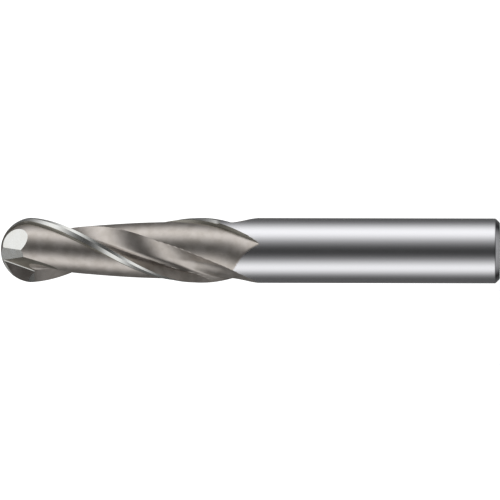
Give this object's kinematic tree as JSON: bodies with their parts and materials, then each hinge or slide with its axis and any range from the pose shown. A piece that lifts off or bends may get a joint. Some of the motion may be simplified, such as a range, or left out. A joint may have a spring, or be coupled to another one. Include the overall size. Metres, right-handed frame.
{
  "type": "ball nose end mill",
  "caption": "Ball-nose end mill, right-hand cut and right-hand helix, long series, with a plain parallel shank.",
  "frame": {"origin": "centre of the shank's flat end face", "axes": "+Z along the tool's axis from the shank's end to the ball's tip; +X through the first cutting edge where the ball meets the cylinder; seen from the shank's end the teeth cut turning clockwise"},
  "size_m": [0.016, 0.016, 0.123],
  "materials": {
    "ground_high_speed_steel": "fine wheel-ground, satin, warm grey",
    "polished_shank_steel": "cylindrically ground and polished, bright"
  },
  "bodies": {
    "root": {"fluted_cutter": "ground_high_speed_steel", "shank": "polished_shank_steel"}
  },
  "joints": []
}
